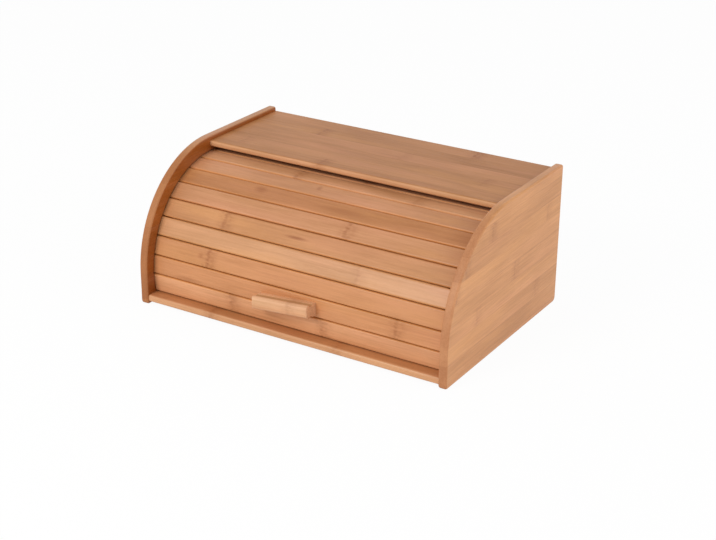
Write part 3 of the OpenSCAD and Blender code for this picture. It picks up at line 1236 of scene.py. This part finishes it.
@dataclass(frozen=True)
class Viewpoint:
    """The photograph's camera, found by fitting the box's edges."""

    place: Place = (0.8510, -1.3704, 0.7482)
    azimuth: float = 31.483
    tilt: float = 23.702
    roll: float = 0.501
    focal_px: float = 1534.5
    sensor_width: float = 36.0
    far: float = 20.0

    def axes(self) -> Matrix:
        """Gives the camera's turn.

        Returns:
            A matrix whose columns point right, up and backwards.
        """
        azimuth, tilt, roll = (math.radians(v) for v in (self.azimuth, self.tilt, self.roll))
        ahead = Vector((
            -math.sin(azimuth) * math.cos(tilt),
            math.cos(azimuth) * math.cos(tilt),
            -math.sin(tilt),
        ))
        level = Vector((math.cos(azimuth), math.sin(azimuth), 0.0))
        upright = level.cross(ahead)
        right = level * math.cos(roll) + upright * math.sin(roll)
        up = upright * math.cos(roll) - level * math.sin(roll)
        return Matrix((right, up, -ahead)).transposed()

    def build(self) -> bpy.types.Object:
        """Makes the camera and makes it the scene's own.

        Returns:
            The camera.
        """
        lens = bpy.data.cameras.new("photo_camera")
        lens.sensor_width = self.sensor_width
        lens.lens = self.focal_px * self.sensor_width / IMAGE_WIDTH
        lens.clip_end = self.far
        camera = placed("photo_camera", lens)
        camera.matrix_world = Matrix.Translation(self.place) @ self.axes().to_4x4()
        bpy.context.scene.camera = camera
        return camera


@dataclass(frozen=True)
class Softbox:
    """A square area lamp that looks at the box."""

    name: str
    place: Place
    size: float
    power: float
    target: Place = (0.0, 0.0, 0.08)

    def build(self) -> bpy.types.Object:
        """Makes the lamp.

        Returns:
            The lamp's object.
        """
        lamp = bpy.data.lights.new(self.name, "AREA")
        lamp.size = self.size
        lamp.energy = self.power
        holder = placed(self.name, lamp)
        holder.location = self.place
        look = Vector(self.target) - Vector(self.place)
        holder.rotation_euler = look.to_track_quat("-Z", "Y").to_euler()
        return holder


@dataclass
class Studio:
    """The pale floor, the plain white surroundings and the soft light."""

    floor_size: float = 8.0
    floor_color: Color = (0.92, 0.92, 0.91, 1.0)
    floor_roughness: float = 0.9
    floor_gloss: float = 0.1
    white: Color = (1.0, 1.0, 1.0, 1.0)
    shadow_share: float = 0.05
    sky: float = 0.6
    softboxes: tuple[Softbox, ...] = (
        Softbox("key_softbox", (-0.62, -2.02, 1.4), 0.9, 29.0),
        Softbox("fill_softbox", (2.3, 0.2, 0.6), 1.4, 21.0),
    )

    def build(self) -> None:
        """Makes floor, surroundings and lamps."""
        self.build_floor()
        self.build_world()
        for softbox in self.softboxes:
            softbox.build()

    def build_floor(self) -> None:
        """Makes the floor: white to the camera, and still a little darker in the shadow."""
        mesh = bpy.data.meshes.new("floor")
        shape = bmesh.new()
        bmesh.ops.create_grid(shape, x_segments=1, y_segments=1, size=self.floor_size / 2)
        shape.to_mesh(mesh)
        shape.free()
        material, sheet, shader = new_material("pale_floor")
        sheet.feed(shader, {
            "Base Color": self.floor_color,
            "Roughness": self.floor_roughness,
            "Specular IOR Level": self.floor_gloss,
        })
        glow = sheet.add("ShaderNodeEmission", {"Color": self.white, "Strength": 1.0}).outputs[0]
        share = sheet.times(self.seen(sheet), 1 - self.shadow_share)
        blend = sheet.add("ShaderNodeMixShader", {0: share, 1: shader.outputs[0], 2: glow})
        sheet.feed(sheet.tree.nodes["Material Output"], {"Surface": blend.outputs[0]})
        mesh.materials.append(material)
        placed("floor", mesh)

    def build_world(self) -> None:
        """Makes the surroundings: white where the camera sees them, softer as light."""
        world = bpy.data.worlds.new("studio")
        bpy.context.scene.world = world
        world.use_nodes = True
        sheet = Sheet(world.node_tree)
        inputs = {"Value": self.seen(sheet), "To Min": self.sky, "To Max": 1.0}
        strength = sheet.add("ShaderNodeMapRange", inputs).outputs[0]
        sheet.feed(sheet.tree.nodes["Background"], {"Color": self.white, "Strength": strength})

    def seen(self, sheet: Sheet) -> Socket:
        """Tells what the camera sees, directly, mirrored or through glass.

        Args:
            sheet: The sheet that gets the nodes.

        Returns:
            1 for what it sees.
        """
        rays = sheet.add("ShaderNodeLightPath").outputs
        names = ("Is Camera Ray", "Is Glossy Ray", "Is Transmission Ray")
        return sheet.total(*(rays[name] for name in names), clamp=True)


# ---------------- all together


def main() -> None:
    """Dresses the box, then sets up its surroundings, and logs what it dressed."""
    logging.basicConfig(level=logging.INFO, format="%(name)s: %(message)s")
    effects = Effects.build()
    Viewpoint().build()
    for part in (Carcass(effects), Tambour(effects)):
        log.info("%s dresses %s", type(part).__name__, ", ".join(part.dress()))
    log.info("canvas built as %s", Canvas().build().name)
    Studio().build()
    bpy.context.scene.view_settings.view_transform = "Standard"


if __name__ == "__main__":
    main()
